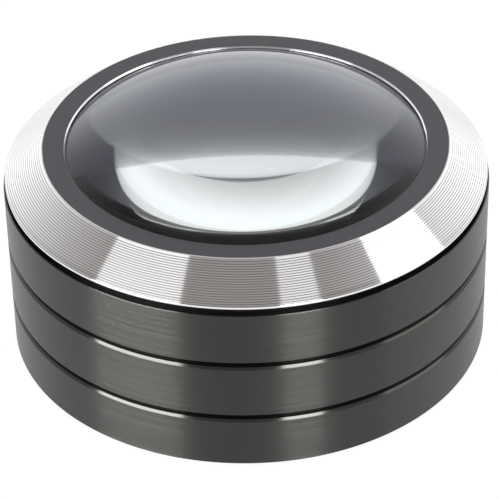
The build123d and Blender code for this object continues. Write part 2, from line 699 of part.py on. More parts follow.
with BuildPart() as board_screws:
    with BuildSketch(Plane.XY.offset(board_bottom)):
        with PolarLocations(service_middle, BOARD_SCREW_COUNT, BOARD_SCREW_START):
            Circle(SMALL_HEAD_RADIUS)
    extrude(amount=-SMALL_HEAD_HEIGHT)
    with BuildSketch(Plane.XY.offset(board_bottom)):
        with PolarLocations(service_middle, BOARD_SCREW_COUNT, BOARD_SCREW_START):
            Circle(SMALL_SCREW_RADIUS)
    extrude(amount=SMALL_SCREW_REACH)
board_screws.part.label = "board_screws"
export_step(board_screws.part, "parts/board_screws.step")

for number, lamp_angle in enumerate(LAMP_ANGLES, start=1):
    with BuildPart(lamp_plane(lamp_angle)) as lamp:
        Cylinder(
            LAMP_FLANGE_RADIUS,
            LAMP_FLANGE_THICKNESS,
            align=(Align.CENTER, Align.CENTER, Align.MIN),
        )
        Cylinder(
            LAMP_RADIUS,
            LAMP_LENGTH - LAMP_RADIUS,
            align=(Align.CENTER, Align.CENTER, Align.MIN),
        )
        with Locations((0, 0, LAMP_LENGTH - LAMP_RADIUS)):
            Sphere(LAMP_RADIUS)
    lamp_name = f"lamp_{number}"
    lamp.part.label = lamp_name
    export_step(lamp.part, f"parts/{lamp_name}.step")

with BuildPart() as lamp_leads:
    for lamp_angle in LAMP_ANGLES:
        for side in (-1, 1):
            with BuildLine() as lead_route:
                FilletPolyline(*lead_points(lamp_angle, side), radius=LEAD_BEND)
            with BuildSketch(Plane(origin=lead_route.line @ 0, z_dir=lead_route.line % 0)):
                Circle(LEAD_RADIUS)
            sweep(path=lead_route.line)
lamp_leads.part.label = "lamp_leads"
export_step(lamp_leads.part, "parts/lamp_leads.step")

with BuildPart() as lamp_resistors:
    for chip_angle in CHIP_ANGLES:
        with BuildSketch(facing(chip_angle, service_middle, board_bottom)):
            Rectangle(CHIP_SIZE[0], CHIP_SIZE[1])
        extrude(amount=-CHIP_SIZE[2])
lamp_resistors.part.label = "lamp_resistors"
export_step(lamp_resistors.part, "parts/lamp_resistors.step")

# ====================================== gravity switch ========================================
with BuildPart() as switch_board:
    with BuildSketch(facing(SWITCH_ANGLE, switch_middle, switch_board_bottom)):
        Rectangle(switch_board_width, SWITCH_BOARD_LENGTH)
        with Locations((0, -STANDOFF_SPAN / 2), (0, STANDOFF_SPAN / 2)):
            Circle(SMALL_SCREW_RADIUS + FIT, mode=Mode.SUBTRACT)
        with Locations((0, -PIN_SPACING / 2), (0, PIN_SPACING / 2)):
            Circle(PIN_RADIUS + SLIP, mode=Mode.SUBTRACT)
    extrude(amount=BOARD_THICKNESS)
switch_board.part.label = "switch_board"
export_step(switch_board.part, "parts/switch_board.step")

with BuildPart() as switch_board_screws:
    with BuildSketch(facing(SWITCH_ANGLE, switch_middle, switch_board_top)):
        with Locations((0, -STANDOFF_SPAN / 2), (0, STANDOFF_SPAN / 2)):
            Circle(SMALL_HEAD_RADIUS)
    extrude(amount=SMALL_HEAD_HEIGHT)
    with BuildSketch(facing(SWITCH_ANGLE, switch_middle, switch_board_top)):
        with Locations((0, -STANDOFF_SPAN / 2), (0, STANDOFF_SPAN / 2)):
            Circle(SMALL_SCREW_RADIUS)
    extrude(amount=-SMALL_SCREW_REACH)
switch_board_screws.part.label = "switch_board_screws"
export_step(switch_board_screws.part, "parts/switch_board_screws.step")

with BuildPart() as switch_can:
    with BuildSketch(facing(SWITCH_ANGLE, switch_middle, switch_board_top)):
        Circle(CAN_RADIUS)
    extrude(amount=CAN_HEIGHT)
    with BuildSketch(facing(SWITCH_ANGLE, switch_middle, switch_board_top)):
        Circle(CAN_RADIUS - CAN_WALL)
    extrude(amount=CAN_HEIGHT - CAN_WALL, mode=Mode.SUBTRACT)
switch_can.part.label = "switch_can"
export_step(switch_can.part, "parts/switch_can.step")

with BuildPart() as switch_header:
    with BuildSketch(facing(SWITCH_ANGLE, switch_middle, switch_board_top)):
        Circle(CAN_RADIUS - CAN_WALL - SLIP)
        with Locations((0, -PIN_SPACING / 2), (0, PIN_SPACING / 2)):
            Circle(PIN_RADIUS + THREAD_GAP, mode=Mode.SUBTRACT)
    extrude(amount=HEADER_HEIGHT)
switch_header.part.label = "switch_header"
export_step(switch_header.part, "parts/switch_header.step")

with BuildPart() as switch_pins:
    with BuildSketch(facing(SWITCH_ANGLE, switch_middle, switch_board_bottom - PIN_TAIL)):
        with Locations((0, -PIN_SPACING / 2), (0, PIN_SPACING / 2)):
            Circle(PIN_RADIUS)
    extrude(amount=pin_top - switch_board_bottom + PIN_TAIL)
switch_pins.part.label = "switch_pins"
export_step(switch_pins.part, "parts/switch_pins.step")

with BuildPart(facing(SWITCH_ANGLE, switch_middle, ball_z)) as switch_ball:
    Sphere(BALL_RADIUS)
switch_ball.part.label = "switch_ball"
export_step(switch_ball.part, "parts/switch_ball.step")

# ====================================== wires =================================================
# Each wire starts square on a tab or a board and ends square on a board.
switch_plane = facing(SWITCH_ANGLE, switch_middle, switch_board_top)
near_end = switch_plane.origin + switch_plane.y_dir * WIRE_OFFSET
far_end = switch_plane.origin - switch_plane.y_dir * WIRE_OFFSET
outer_lane = service_middle + POST_RADIUS + GAP + WIRE_RADIUS + FIT

with BuildPart() as battery_wire_red:
    with BuildLine() as red_route:
        FilletPolyline(
            (plus_outer, cell_y, wire_height),
            (plus_outer + WIRE_START, cell_y, wire_height),
            *[polar(a, outer_lane + out, wire_height + up) for a, out, up in BATTERY_RED_ROUTE],
            near_end + Vector(0, 0, WIRE_START),
            near_end,
            radius=WIRE_BEND,
        )
    with BuildSketch(Plane(origin=red_route.line @ 0, z_dir=red_route.line % 0)):
        Circle(WIRE_RADIUS)
    sweep(path=red_route.line)
battery_wire_red.part.label = "battery_wire_red"
export_step(battery_wire_red.part, "parts/battery_wire_red.step")

with BuildPart() as lamp_wire_red:
    with BuildLine() as feed_route:
        feed_rise = board_bottom - switch_board_top
        FilletPolyline(
            far_end,
            far_end + Vector(0, 0, WIRE_START),
            *[
                polar(a, service_middle + out, switch_board_top + share * feed_rise)
                for a, out, share in LAMP_RED_ROUTE
            ],
            radius=WIRE_BEND,
        )
    with BuildSketch(Plane(origin=feed_route.line @ 0, z_dir=feed_route.line % 0)):
        Circle(WIRE_RADIUS)
    sweep(path=feed_route.line)
lamp_wire_red.part.label = "lamp_wire_red"
export_step(lamp_wire_red.part, "parts/lamp_wire_red.step")

with BuildPart() as battery_wire_black:
    with BuildLine() as black_route:
        black_rise = board_bottom - wire_height
        FilletPolyline(
            (minus_outer, cell_y, wire_height),
            *[
                (minus_outer - beyond, cell_y + out, wire_height + share * black_rise)
                for beyond, out, share in BATTERY_BLACK_ROUTE
            ],
            radius=WIRE_BEND,
        )
    with BuildSketch(Plane(origin=black_route.line @ 0, z_dir=black_route.line % 0)):
        Circle(WIRE_RADIUS)
    sweep(path=black_route.line)
battery_wire_black.part.label = "battery_wire_black"
export_step(battery_wire_black.part, "parts/battery_wire_black.step")
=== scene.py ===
"""Looks of a round desk magnifier: a domed lens in a bright turned bezel on a black anodised drum.

Metres throughout. Every piece takes its place from the engineering model's own pieces.
"""

from math import atan2, cos, pi, radians, sin, sqrt, tan

import bmesh
import bpy
from mathutils import Matrix, Vector


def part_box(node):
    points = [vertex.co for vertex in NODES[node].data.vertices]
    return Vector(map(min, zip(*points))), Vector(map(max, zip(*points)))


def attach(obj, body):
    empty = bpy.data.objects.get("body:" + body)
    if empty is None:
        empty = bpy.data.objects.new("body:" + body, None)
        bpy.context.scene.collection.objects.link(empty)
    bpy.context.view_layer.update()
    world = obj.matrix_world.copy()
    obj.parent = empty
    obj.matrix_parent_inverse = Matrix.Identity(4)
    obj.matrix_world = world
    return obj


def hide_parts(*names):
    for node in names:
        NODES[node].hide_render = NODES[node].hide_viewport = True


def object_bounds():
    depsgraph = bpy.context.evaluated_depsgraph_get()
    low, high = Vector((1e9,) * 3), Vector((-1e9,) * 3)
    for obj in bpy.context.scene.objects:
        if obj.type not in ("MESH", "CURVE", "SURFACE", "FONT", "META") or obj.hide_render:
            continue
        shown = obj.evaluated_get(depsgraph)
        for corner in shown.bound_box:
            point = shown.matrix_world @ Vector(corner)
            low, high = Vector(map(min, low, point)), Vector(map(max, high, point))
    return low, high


bl_info = {
    "name": "Dome Magnifier",
    "version": (1, 0, 0),
    "blender": (4, 5, 0),
    "location": "View3D > Sidebar > Magnifier",
    "description": "Finishes a self-lit dome magnifier round its engineering model",
    "category": "Object",
}

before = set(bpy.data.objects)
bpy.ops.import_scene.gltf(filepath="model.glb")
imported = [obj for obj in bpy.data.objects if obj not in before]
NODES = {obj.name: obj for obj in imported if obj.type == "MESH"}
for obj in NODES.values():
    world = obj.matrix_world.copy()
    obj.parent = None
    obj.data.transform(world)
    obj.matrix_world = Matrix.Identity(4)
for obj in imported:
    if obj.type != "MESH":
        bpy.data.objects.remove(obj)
CAD_LOW, CAD_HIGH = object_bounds()
MM = 0.001
MERGE = 1e-6  # vertices nearer than this are one
SHARP = radians(30)  # faces that meet more steeply keep a hard edge
FULL_TURN = 2 * pi
DOME_RINGS = 72  # facets from the lens's crown to its edge
ARC_STEPS = 4  # facets in a rounded corner
PAD_STEPS = 24  # facets along a foot pad
WHITE = (1.0, 1.0, 1.0)


def reach(node):
    """Largest distance of a round node from the drum's axis."""
    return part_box(node)[1].x


def bottom(node):
    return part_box(node)[0].z


def top(node):
    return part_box(node)[1].z


# ------------------------------------ settings --------------------------------------------------


def length(name, description, millimetres):
    return bpy.props.FloatProperty(
        name=name, description=description, default=millimetres * MM, unit="LENGTH", precision=5
    )


def angle(name, description, degrees):
    return bpy.props.FloatProperty(
        name=name, description=description, default=radians(degrees), subtype="ANGLE"
    )


def number(name, description, value):
    return bpy.props.FloatProperty(name=name, description=description, default=value)


def colour(name, description, red, green, blue):
    return bpy.props.FloatVectorProperty(
        name=name,
        description=description,
        default=(red, green, blue),
        subtype="COLOR",
        size=3,
        min=0,
        soft_max=1,
    )


class TurningSettings(bpy.types.PropertyGroup):
    segments: bpy.props.IntProperty(
        name="Segments", description="Facets round every turned piece", default=320, min=32
    )
    edge: length("Edge rounding", "Radius on the drum's and bezel's corners", 0.12)
    groove_depth: length("Groove depth", "Depth of each drum groove", 0.4)
    groove_floor: length("Groove floor", "Upright floor of each drum groove", 0.9)
    groove_low: length("Groove lower face", "Height of the face below the floor", 0.5)
    groove_high: length("Groove upper face", "Height of the face above the floor", 0.2)
    groove_pitch: length("Groove pitch", "From the drum's first groove to its second", 11.0)
    groove_start: length("First groove", "Height of the lower groove's middle", 10.45)
    ring_count: bpy.props.IntProperty(
        name="Bezel rings", description="Fine grooves turned in the bezel's slope", default=17
    )
    ring_depth: length("Ring depth", "Depth of each bezel groove", 0.012)
    ring_share: number("Ring share", "Share of the ring pitch that is groove", 0.46)
    dome_radius: length("Dome radius", "Radius of the lens's domed face", 57.5)


class FinishSettings(bpy.types.PropertyGroup):
    drum: colour("Drum", "Dyed oxide on the drum", 0.0042, 0.0046, 0.004)
    bezel: colour("Bezel", "Bare turned aluminium", 0.86, 0.855, 0.85)
    trim: colour("Trim ring", "Matt lacquer on the trim ring", 0.092, 0.088, 0.1)
    lens: colour("Lens", "Tint of the lens glass", 0.84, 0.882, 0.868)
    liner: colour("Liner", "Satin wall of the viewing chamber", 0.139, 0.142, 0.188)
    plastic: colour("Black plastic", "Carrier, base, door and header", 0.007, 0.007, 0.008)
    rubber: colour("Rubber", "Foot pads and lens gasket", 0.014, 0.014, 0.015)
    steel: colour("Steel", "Screws, cells and switch can", 0.63, 0.62, 0.6)
    board: colour("Boards", "Solder mask on the circuit boards", 0.012, 0.09, 0.035)
    red_wire: colour("Red wires", "Insulation of the red wires", 0.5, 0.018, 0.012)
    black_wire: colour("Black wire", "Insulation of the black wire", 0.014, 0.014, 0.015)


class StageSettings(bpy.types.PropertyGroup):
    floor: colour("Floor", "Pale paper that the magnifier stands on", 0.24, 0.24, 0.24)
    glow: number("Floor glow", "Light that the floor sends up by itself", 0.92)
    horizon: colour("Horizon", "Studio walls near the ground", 1.24, 1.25, 1.29)
    ceiling: colour("Ceiling", "Unlit studio overhead", 0.31, 0.29, 0.285)
    camera_distance: length("Camera distance", "From the drum's foot to the camera", 472.17)
    camera_height: angle("Camera height", "Elevation of the camera above the floor", 36.89)
    camera_pitch: angle("Camera pitch", "How far the camera looks down", 35.44)
    camera_yaw: angle("Camera yaw", "How far the camera looks to its right", 0.055)
    camera_roll: angle("Camera roll", "Lean of the camera about its own axis", -1.263)
    camera_lens: number("Camera lens", "Focal length in millimetres on a 36 mm sensor", 186.16)


SETTINGS = {
    "magnifier_turning": TurningSettings,
    "magnifier_finish": FinishSettings,
    "magnifier_stage": StageSettings,
}


def turning():
    return bpy.context.scene.magnifier_turning


def finish():
    return bpy.context.scene.magnifier_finish


def stage():
    return bpy.context.scene.magnifier_stage


# ------------------------------------ node trees ------------------------------------------------


def connect(tree, value, socket):
    """Puts a value, a Value or another node's socket on a socket."""
    if isinstance(value, Value):
        value = value.socket
    if isinstance(value, bpy.types.NodeSocket):
        tree.links.new(value, socket)
    else:
        socket.default_value = value


class Value:
    """A number on a socket: arithmetic on it adds Math nodes to its tree."""

    def __init__(self, tree, socket):
        self.tree = tree
        self.socket = socket

    def math(self, operation, *terms):
        node = self.tree.nodes.new("ShaderNodeMath")
        node.operation = operation
        for socket, term in zip(node.inputs, terms):
            connect(self.tree, term, socket)
        return Value(self.tree, node.outputs[0])

    def __add__(self, other):
        return self.math("ADD", self, other)

    def __radd__(self, other):
        return self.math("ADD", other, self)

    def __sub__(self, other):
        return self.math("SUBTRACT", self, other)

    def __rsub__(self, other):
        return self.math("SUBTRACT", other, self)

    def __mul__(self, other):
        return self.math("MULTIPLY", self, other)

    def __rmul__(self, other):
        return self.math("MULTIPLY", other, self)

    def __truediv__(self, other):
        return self.math("DIVIDE", self, other)

    def __mod__(self, other):
        return self.math("MODULO", self, other)

    def floor(self):
        return self.math("FLOOR", self)

    def hypot(self, other):
        return self.math("SQRT", self * self + other * other)


class Graph:
    """Adds nodes to one shader or geometry tree."""

    def __init__(self, tree):
        self.tree = tree

    def add(self, kind, settings=None, sockets=None):
        """New node: its settings first, then the values or links of its sockets."""
        node = self.tree.nodes.new(kind)
        for name, value in (settings or {}).items():
            if name == "stops":
                self.set_stops(node.color_ramp.elements, value)
            else:
                setattr(node, name, value)
        for key, value in (sockets or {}).items():
            connect(self.tree, value, node.inputs[key])
        return node

    def set_stops(self, elements, stops):
        while len(elements) < len(stops):
            elements.new(1.0)
        for element, (place, level) in zip(elements, stops):
            element.position = place
            element.color = (*level, 1.0) if isinstance(level, tuple) else (level,) * 3 + (1.0,)

    def value(self, kind, output, settings=None, sockets=None):
        node = self.add(kind, settings, sockets)
        return Value(self.tree, node.outputs[output])


class Finish(Graph):
    """A surface finish: a Principled shader with its pattern nodes."""

    def __init__(self, name, colour, roughness, metallic=0.0, **constants):
        material = bpy.data.materials.new(name)
        material.use_nodes = True
        super().__init__(material.node_tree)
        self.material = material
        self.shader = material.node_tree.nodes["Principled BSDF"]
        self.shader.inputs["Base Color"].default_value = (*colour, 1.0)
        self.shader.inputs["Roughness"].default_value = roughness
        self.shader.inputs["Metallic"].default_value = metallic
        for socket, value in constants.items():
            self.shader.inputs[socket.replace("_", " ")].default_value = value
        self.place = self.add("ShaderNodeTexCoord").outputs["Object"]

    def axes(self):
        """X, Y and Z on the piece, as numbers."""
        split = self.add("ShaderNodeSeparateXYZ", sockets={0: self.place})
        return [Value(self.tree, split.outputs[i]) for i in range(3)]

    def noise(self, scale, detail=2.0, roughness=0.5, place=None):
        """Soft random pattern between 0 and 1; scale is features per metre."""
        sockets = {
            "Vector": place or self.place,
            "Scale": scale,
            "Detail": detail,
            "Roughness": roughness,
        }
        return self.value("ShaderNodeTexNoise", 0, sockets=sockets)

    def lines(self, along, scale, detail=3.0):
        """Random lines across one number on the surface."""
        sockets = {"W": along, "Scale": scale, "Detail": detail}
        return self.value("ShaderNodeTexNoise", 0, {"noise_dimensions": "1D"}, sockets)

    def ramp(self, factor, *stops):
        return self.value("ShaderNodeValToRGB", 0, {"stops": stops}, {0: factor})

    def mixed(self, factor, first, second):
        """Colour that turns from the first to the second with the factor."""
        sockets = {0: factor}
        for place, end in ((6, first), (7, second)):
            sockets[place] = end if isinstance(end, bpy.types.NodeSocket) else (*end, 1.0)
        return self.add("ShaderNodeMix", {"data_type": "RGBA"}, sockets).outputs[2]

    def tint(self, factor, first, second):
        self.paint(self.mixed(factor, first, second))

    def paint(self, colour):
        self.tree.links.new(colour, self.shader.inputs["Base Color"])

    def rough(self, value):
        connect(self.tree, value, self.shader.inputs["Roughness"])

    def lean(self, amount):
        """Tips the surface up or down its slope, as turning marks do; the amount is an angle."""
        x, y, z = self.axes()
        round_axis = self.add("ShaderNodeCombineXYZ", sockets={"X": 0.0 - y, "Y": x})
        sockets = {
            "Vector": self.add("ShaderNodeNewGeometry").outputs["Normal"],
            "Axis": round_axis.outputs[0],
            "Angle": amount,
        }
        tipped = self.add("ShaderNodeVectorRotate", {"rotation_type": "AXIS_ANGLE"}, sockets)
        self.tree.links.new(tipped.outputs[0], self.shader.inputs["Normal"])

    def bump(self, height, depth):
        """Raises the surface by the height, which runs from 0 to 1, times the depth."""
        sockets = {"Height": height, "Distance": depth, "Strength": 1.0}
        bump = self.add("ShaderNodeBump", sockets=sockets)
        self.tree.links.new(bump.outputs[0], self.shader.inputs["Normal"])


def shade(colour, share):
    """The same colour, lighter or darker."""
    return tuple(min(1.0, part * share) for part in colour)


# ------------------------------------ geometry trees --------------------------------------------


def geometry_tree(name, inputs):
    """New geometry tree with named inputs, its graph and its input and output nodes."""
    tree = bpy.data.node_groups.new(name, "GeometryNodeTree")
    tree.interface.new_socket("Geometry", in_out="INPUT", socket_type="NodeSocketGeometry")
    for title, kind in inputs:
        tree.interface.new_socket(title, in_out="INPUT", socket_type="NodeSocket" + kind)
    tree.interface.new_socket("Geometry", in_out="OUTPUT", socket_type="NodeSocketGeometry")
    graph = Graph(tree)
    return graph, graph.add("NodeGroupInput").outputs


def close_tree(graph, geometry, material):
    """Ends a tree: everything made real, with its material."""
    real = graph.add("GeometryNodeRealizeInstances", sockets={0: geometry})
    sockets = {"Geometry": real.outputs[0], "Material": material}
    done = graph.add("GeometryNodeSetMaterial", sockets=sockets)
    graph.add("NodeGroupOutput", sockets={0: done.outputs[0]})
    return graph.tree


def lathe_tree():
    """Turns a closed outline of points in the XZ plane round the Z axis.

    Points whose 'cut' is above nothing are moved by that share of the cut first.
    """
    inputs = [("Segments", "Int"), ("Cut", "Vector"), ("Material", "Material")]
    graph, given = geometry_tree("Lathe", inputs)
    outline = given["Geometry"]
    size = graph.value("GeometryNodeAttributeDomainSize", 0, sockets={0: outline})
    sockets = {
        "Size X": 1.0,
        "Size Y": 1.0,
        "Vertices X": Value(graph.tree, given["Segments"]) + 1,
        "Vertices Y": size + 1,
    }
    grid = graph.add("GeometryNodeMeshGrid", sockets=sockets)
    index = graph.value("GeometryNodeInputIndex", 0)
    point = (index % (size + 1)) % size
    turn = (index / (size + 1)).floor() * FULL_TURN / Value(graph.tree, given["Segments"])
    place = graph.add("GeometryNodeInputPosition").outputs[0]
    cut = graph.add("GeometryNodeInputNamedAttribute", {"data_type": "FLOAT"}, {"Name": "cut"})
    scaled = graph.add(
        "ShaderNodeVectorMath",
        {"operation": "SCALE"},
        {"Vector": given["Cut"], "Scale": cut.outputs[0]},
    )
    moved = graph.add(
        "ShaderNodeVectorMath", {"operation": "ADD"}, {0: place, 1: scaled.outputs[0]}
    )
    sample = graph.add(
        "GeometryNodeSampleIndex",
        {"data_type": "FLOAT_VECTOR"},
        {"Geometry": outline, "Value": moved.outputs[0], "Index": point},
    )
    turned = graph.add(
        "ShaderNodeVectorRotate",
        {"rotation_type": "Z_AXIS"},
        {"Vector": sample.outputs[0], "Angle": turn},
    )
    placed = graph.add(
        "GeometryNodeSetPosition", sockets={0: grid.outputs[0], "Position": turned.outputs[0]}
    )
    merged = graph.add(
        "GeometryNodeMergeByDistance", sockets={0: placed.outputs[0], "Distance": MERGE}
    )
    return close_tree(graph, merged.outputs[0], given["Material"])


def copies_tree():
    """Puts a copy of a piece on each point, turned about Z by the point's 'turn'."""
    graph, given = geometry_tree("Copies", [("Piece", "Object"), ("Material", "Material")])
    piece = graph.add("GeometryNodeObjectInfo", sockets={0: given["Piece"]})
    turn = graph.add("GeometryNodeInputNamedAttribute", {"data_type": "FLOAT"}, {"Name": "turn"})
    rotation = graph.add("ShaderNodeCombineXYZ", sockets={"Z": turn.outputs[0]})
    sockets = {
        "Points": given["Geometry"],
        "Instance": piece.outputs["Geometry"],
        "Rotation": rotation.outputs[0],
    }
    copies = graph.add("GeometryNodeInstanceOnPoints", sockets=sockets)
    return close_tree(graph, copies.outputs[0], given["Material"])


# ------------------------------------ meshes ----------------------------------------------------


def points_object(name, points, attribute, values):
    """Object of loose points that carry one number each."""
    mesh = bpy.data.meshes.new(name)
    mesh.from_pydata(points, [], [])
    mesh.attributes.new(attribute, "FLOAT", "POINT").data.foreach_set("value", values)
    obj = bpy.data.objects.new(name, mesh)
    bpy.context.scene.collection.objects.link(obj)
    return obj


def grown(obj, tree, values):
    """Runs a geometry tree on the object and leaves a plain mesh with sound normals."""
    modifier = obj.modifiers.new(tree.name, "NODES")
    modifier.node_group = tree
    for item in tree.interface.items_tree:
        if item.item_type == "SOCKET" and item.name in values:
            modifier[item.identifier] = values[item.name]
    bpy.context.view_layer.update()
    evaluated = obj.evaluated_get(bpy.context.evaluated_depsgraph_get())
    mesh = bpy.data.meshes.new_from_object(evaluated)
    obj.modifiers.remove(modifier)
    obj.data = mesh
    mesh.name = obj.name
    tidy_mesh(mesh)
    return obj


def tidy_mesh(mesh):
    """Merges doubles, turns faces outwards and keeps hard edges where faces meet steeply."""
    work = bmesh.new()
    work.from_mesh(mesh)
    bmesh.ops.remove_doubles(work, verts=work.verts, dist=MERGE)
    bmesh.ops.dissolve_degenerate(work, edges=work.edges, dist=MERGE)
    bmesh.ops.recalc_face_normals(work, faces=work.faces)
    work.to_mesh(mesh)
    work.free()
    mesh.shade_smooth()
    mesh.set_sharp_from_angle(angle=SHARP)


def arc(before, here, after, radius):
    """Rounded corner between two straight runs, with a support point on each side."""
    if not radius:
        return [here]
    back = (before - here).normalized()
    on = (after - here).normalized()
    half = back.angle(on) / 2
    run = radius / tan(half)
    centre = here + (back + on).normalized() * radius / sin(half)
    start, end = here + back * run, here + on * run
    points = [start + back * run / 3]
    for step in range(ARC_STEPS + 1):
        spoke = (start - centre).lerp(end - centre, step / ARC_STEPS).normalized()
        points.append(centre + spoke * radius)
    return points + [end + on * run / 3]


def rounded(corners):
    """Closed outline whose corners are arcs. Each corner is (out, up, radius)."""
    places = [Vector(corner[:2]) for corner in corners]
    points = []
    for place, here in enumerate(places):
        after = places[(place + 1) % len(places)]
        points += arc(places[place - 1], here, after, corners[place][2])
    return points


def turned(name, outline, cuts=None, cut=Vector(), material=None):
    """A piece turned from its outline of (out, up) points."""
    points = [(out, 0, up) for out, up in outline]
    obj = points_object(name, points, "cut", cuts or [0.0] * len(points))
    tree = bpy.data.node_groups.get("Lathe") or lathe_tree()
    values = {"Segments": turning().segments, "Cut": cut, "Material": material}
    return grown(obj, tree, values)


def fit(obj, body, slot, *replaced):
    """Hands a finished piece to its body and hides the nodes it stands for. The slot is not used.
    """
    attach(obj, body)
    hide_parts(*replaced)


def cover(material, *nodes):
    """Gives engineering pieces their finish."""
    for node in nodes:
        mesh = NODES[node].data
        mesh.materials.clear()
        mesh.materials.append(material)


# ------------------------------------ finishes --------------------------------------------------


def turned_metal(name, colour, roughness, pitch, **constants):
    """Metal or oxide with fine lines that run round the axis, and faint patches."""
    made = Finish(name, colour, roughness, **constants)
    x, y, z = made.axes()
    marks = made.lines(z + x.hypot(y), 1 / pitch)
    patches = made.noise(120, 3.0)
    made.tint(marks * 0.6 + patches * 0.4, shade(colour, 0.9), shade(colour, 1.1))
    made.rough((marks * 0.2 + patches * 0.2 + 0.8) * roughness)
    return made.material


def moulded(name, colour, roughness, grain, depth, **constants):
    """Plastic, rubber or lacquer with a fine even grain."""
    made = Finish(name, colour, roughness, **constants)
    fine = made.noise(1 / grain, 3.0, 0.6)
    patches = made.noise(60, 2.0)
    made.tint(patches * 0.7 + fine * 0.3, shade(colour, 0.8), shade(colour, 1.25))
    made.rough(roughness * 0.8 + fine * 0.4 * roughness)
    made.bump(fine, depth)
    return made.material


ROUND_THE_AXIS = {"Anisotropic_Rotation": 0.25}  # the shine stretches across the turning marks
TURNING_MARK = 0.022 * MM  # width of a turning mark on the drum
MARK_LEAN = 1.9  # spread of the marks' lean
FLOOR_LEAN = 1.08  # lean of the groove floors towards the ceiling


def drum_finish(skin, floor):
    """Glossy dyed oxide over turning marks, which spread the light up and down only.

    Inside the skin radius, in the grooves, the marks are polished away, and the groove floors are
    cut so that they turn their shine up to the dim ceiling.
    """
    colour = finish().drum
    made = Finish("black_anodised", colour, 0.28, IOR=1.5, **ROUND_THE_AXIS, Anisotropic=0.9)
    made.shader.inputs["Specular Tint"].default_value = (1.0, 1.0, 0.94, 1.0)
    x, y, z = made.axes()
    out = x.hypot(y)
    marks = made.lines(z + out, 1 / TURNING_MARK, 1.0)
    turned_skin = out.math("GREATER_THAN", out, skin)
    sunk = out.math("LESS_THAN", out, floor)
    patches = made.noise(120, 3.0)
    made.tint(patches, shade(colour, 0.85), shade(colour, 1.15))
    made.rough(0.16 + turned_skin * 0.12 + patches * 0.03)
    made.lean((marks - 0.5) * turned_skin * MARK_LEAN - sunk * FLOOR_LEAN)
    return made.material


def bezel_finish(first, pitch):
    """Bright metal with painted shade in the fine grooves that begin at the first radius, and
    painted light on the lands between them.
    """
    colour = finish().bezel
    made = Finish("bright_aluminium", colour, 0.1, 1.0, **ROUND_THE_AXIS, Anisotropic=0.6)
    x, y, z = made.axes()
    phase = (x.hypot(y) - first) / pitch
    # painted shade: the groove lines are darkened in the base colour and the lands lightened,
    # standing in for shade in the shallow grooves
    groove = made.ramp(phase % 1.0, (0.22, 0.0), (0.5, 1.0), (0.78, 0.0))
    patches = made.noise(90, 3.0)
    made.tint(groove * 0.9 + patches * 0.1, shade(colour, 1.12), shade(colour, 0.4))
    made.rough(0.075 + groove * 0.02 + patches * 0.01)
    return made.material


def trim_finish(edge):
    """Matt lacquer, cut back to bright metal inside the edge radius."""
    colour = finish().trim
    made = Finish("trim_lacquer", colour, 0.5)
    x, y, z = made.axes()
    ends = {0: x.hypot(y), 1: edge - 0.02 * MM, 2: edge, 3: 1.0, 4: 0.0}
    bare = made.value("ShaderNodeMapRange", 0, sockets=ends)
    fine = made.noise(1 / (0.12 * MM), 3.0, 0.6)
    lacquer = made.mixed(fine, shade(colour, 0.85), shade(colour, 1.2))
    made.paint(made.mixed(bare, lacquer, (0.85, 0.86, 0.88)))
    connect(made.tree, bare, made.shader.inputs["Metallic"])
    made.rough((0.42 + fine * 0.15) * (1.0 - bare) + bare * 0.12)
    return made.material


def lens_finish():
    """Clear crown glass; the faintest bloom on it dulls the shine in patches."""
    made = Finish("crown_glass", finish().lens, 0.0, IOR=1.52, Transmission_Weight=1.0)
    bloom = made.noise(45, 4.0)
    made.rough(made.ramp(bloom, (0.45, 0.0), (0.8, 0.012)))
    return made.material


def liner_finish():
    return turned_metal("liner_satin", finish().liner, 0.42, 0.3 * MM, metallic=0.75)


def plastic_finish():
    grain, depth = 0.14 * MM, 0.0018 * MM
    return moulded(
        "black_plastic", finish().plastic, 0.42, grain, depth, Specular_IOR_Level=0.22
    )


def rubber_finish():
    return moulded("rubber", finish().rubber, 0.75, 0.1 * MM, 0.004 * MM)


def steel_finish():
    return turned_metal("steel", finish().steel, 0.26, 0.2 * MM, metallic=1.0)


def nickel_finish():
    return turned_metal("nickel", (0.58, 0.53, 0.46), 0.3, 0.2 * MM, metallic=1.0)


def brass_finish():
    return turned_metal("brass", (0.72, 0.5, 0.2), 0.28, 0.2 * MM, metallic=1.0)


def wire_finish(name, colour):
    return moulded(name, colour, 0.4, 0.2 * MM, 0.002 * MM)


def board_finish():
    """Solder mask over copper tracks, with bare tinned spots between them."""
    colour = finish().board
    made = Finish("circuit_board", colour, 0.32)
    cells = made.value(
        "ShaderNodeTexVoronoi",
        0,
        {"feature": "DISTANCE_TO_EDGE"},
        {"Vector": made.place, "Scale": 420.0},
    )
    tracks = made.ramp(cells, (0.06, 1.0), (0.11, 0.0))
    weave = made.noise(1500, 2.0)
    made.tint(tracks * 0.8 + weave * 0.2, shade(colour, 0.75), shade(colour, 2.4))
    made.rough(0.25 + weave * 0.2)
    made.bump(tracks, 0.02 * MM)
    return made.material


def lamp_finish():
    """Clear epoxy over a pale yellow phosphor."""
    made = Finish("lamp_epoxy", (0.9, 0.86, 0.62), 0.08, IOR=1.5, Transmission_Weight=0.45)
    cloud = made.noise(700, 2.0)
    made.tint(cloud, (0.93, 0.88, 0.6), (0.97, 0.96, 0.9))
    made.rough(0.05 + cloud * 0.08)
    return made.material


# ------------------------------------ pieces ----------------------------------------------------


class Step:
    """What all steps share."""

    bl_options = {"REGISTER", "UNDO"}


